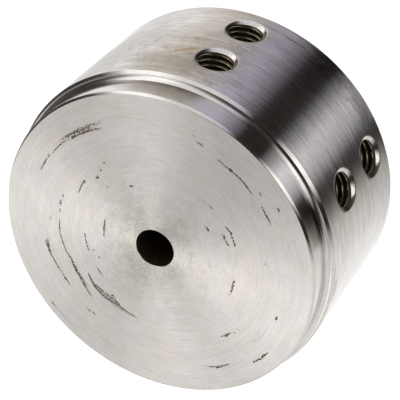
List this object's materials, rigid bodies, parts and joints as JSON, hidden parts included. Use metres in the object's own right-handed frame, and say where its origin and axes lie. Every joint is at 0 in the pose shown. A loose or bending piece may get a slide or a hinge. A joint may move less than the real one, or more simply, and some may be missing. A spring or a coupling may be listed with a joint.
{
  "type": "elastic coupling hub",
  "caption": "Turned steel hub of an elastic shaft coupling, with a small pilot bore, a raised front land and countersunk tapped holes in pairs round its outside.",
  "frame": {"origin": "centre of the rear face, on the bore's axis", "axes": "+Z along the bore towards the front face with the land, +X through the first pair of tapped holes"},
  "size_m": [0.085, 0.085, 0.0466],
  "materials": {
    "turned_steel": "bright turned steel with fine circular tool marks, light scuffs and rust"
  },
  "bodies": {
    "root": {"coupling_hub": "turned_steel"}
  },
  "joints": []
}
